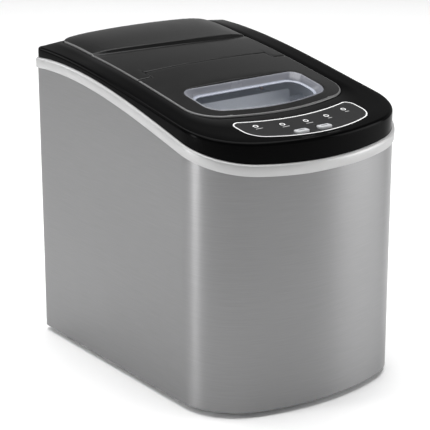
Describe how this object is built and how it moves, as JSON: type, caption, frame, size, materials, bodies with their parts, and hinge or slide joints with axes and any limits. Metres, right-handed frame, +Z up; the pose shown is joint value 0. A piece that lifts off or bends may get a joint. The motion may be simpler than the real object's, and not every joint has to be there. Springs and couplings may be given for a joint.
{
  "type": "countertop ice maker",
  "caption": "Free-standing countertop bullet-ice maker with a steel wrap, black sloping top, hinged lid with window, lift-out basket and push-button panel.",
  "frame": {"origin": "on the ground under the middle of the footprint", "axes": "+Z up, -Y towards the control panel at the front, +X to the right as seen from the front"},
  "size_m": [0.25, 0.342, 0.323],
  "materials": {
    "steel": "brushed",
    "silver": "satin silver",
    "gloss_black": "high gloss",
    "satin_black": "gloss",
    "clear": "clear plastic",
    "overlay": "printed film",
    "light": "frosted",
    "button_grey": "satin",
    "white": "smooth",
    "grey": "smooth",
    "foam": "foam",
    "copper": "drawn copper",
    "fins": "finned",
    "nickel": "plated",
    "rubber": "matt",
    "painted": "satin paint",
    "plain_black": "moulded",
    "galvanised": "zinc coated",
    "board": "lacquered",
    "screw": "plated"
  },
  "bodies": {
    "case": {"base_pan": "galvanised", "outer_casing": "steel", "rear_panel": "galvanised", "trim_ring": "silver", "top_housing": "gloss_black", "rear_cover": "satin_black", "control_overlay": "overlay", "panel_board": "board", "reservoir_tank": "white", "insulation": "foam", "evaporator": "nickel", "evaporator_bracket": "galvanised", "tray_motor": "galvanised", "water_pump": "plain_black", "water_hose": "rubber", "water_sensor": "plain_black", "ice_sensor_left": "plain_black", "ice_sensor_right": "plain_black", "compressor": "painted", "terminal_cover": "plain_black", "condenser": "fins", "fan_shroud": "plain_black", "motor_bracket": "galvanised", "fan_motor": "galvanised", "discharge_tube": "copper", "suction_tube": "copper", "capillary_tube": "copper", "condenser_outlet": "copper", "filter_drier": "copper", "hot_gas_valve": "copper", "main_board": "board", "board_tray": "plain_black", "cord_gland": "rubber", "hinge_pin_left": "screw", "hinge_pin_right": "screw", "status_lamp_1": "light", "status_lamp_2": "light", "status_lamp_3": "light", "status_lamp_4": "light", "status_lamp_5": "light", "compressor_grommet_1": "rubber", "compressor_grommet_2": "rubber", "compressor_grommet_3": "rubber", "foot_front_left": "rubber", "foot_front_right": "rubber", "foot_rear_left": "rubber", "foot_rear_right": "rubber", "rear_screw_low_left": "screw", "rear_screw_low_right": "screw", "rear_screw_high_left": "screw", "rear_screw_high_right": "screw"},
    "lid": {"lid_frame": "satin_black", "lid_window": "clear"},
    "select_button": {"button_select": "button_grey"},
    "power_button": {"button_power": "button_grey"},
    "tray": {"water_tray": "white"},
    "shovel": {"ice_shovel": "white"},
    "fan": {"fan_blade": "plain_black"},
    "basket": {"ice_basket": "grey"},
    "drain_plug": {"drain_cap": "rubber"}
  },
  "joints": [
    {"name": "lid_hinge", "type": "hinge", "parent": "case", "child": "lid", "pos_m": [0, 0.025, 0.30351], "axis": [-1, 0, 0], "range_deg": [0, 95]},
    {"name": "select_press", "type": "slide", "parent": "case", "child": "select_button", "axis": [0, 0, -1], "range_m": [0, 0.0012], "stiffness_N_per_m": 1500},
    {"name": "power_press", "type": "slide", "parent": "case", "child": "power_button", "axis": [0, 0, -1], "range_m": [0, 0.0012], "stiffness_N_per_m": 1500},
    {"name": "tray_tilt", "type": "hinge", "parent": "case", "child": "tray", "pos_m": [0, 0.02, 0.252], "axis": [1, 0, 0], "range_deg": [0, 70]},
    {"name": "shovel_sweep", "type": "hinge", "parent": "case", "child": "shovel", "pos_m": [0, -0.022, 0.272], "axis": [1, 0, 0], "range_deg": [-46, 0]},
    {"name": "fan_spin", "type": "hinge", "parent": "case", "child": "fan", "pos_m": [0.064, 0.103, 0.095], "axis": [0, 1, 0], "continuous": true},
    {"name": "basket_lift", "type": "slide", "parent": "case", "child": "basket", "axis": [0, 0, 1], "range_m": [0, 0.01]},
    {"name": "drain_cap_pull", "type": "slide", "parent": "case", "child": "drain_plug", "axis": [0, 0, -1], "range_m": [0, 0.02]}
  ],
  "couplings": [
    {"joint": "shovel_sweep", "follows": "tray_tilt", "ratio": -0.64}
  ]
}
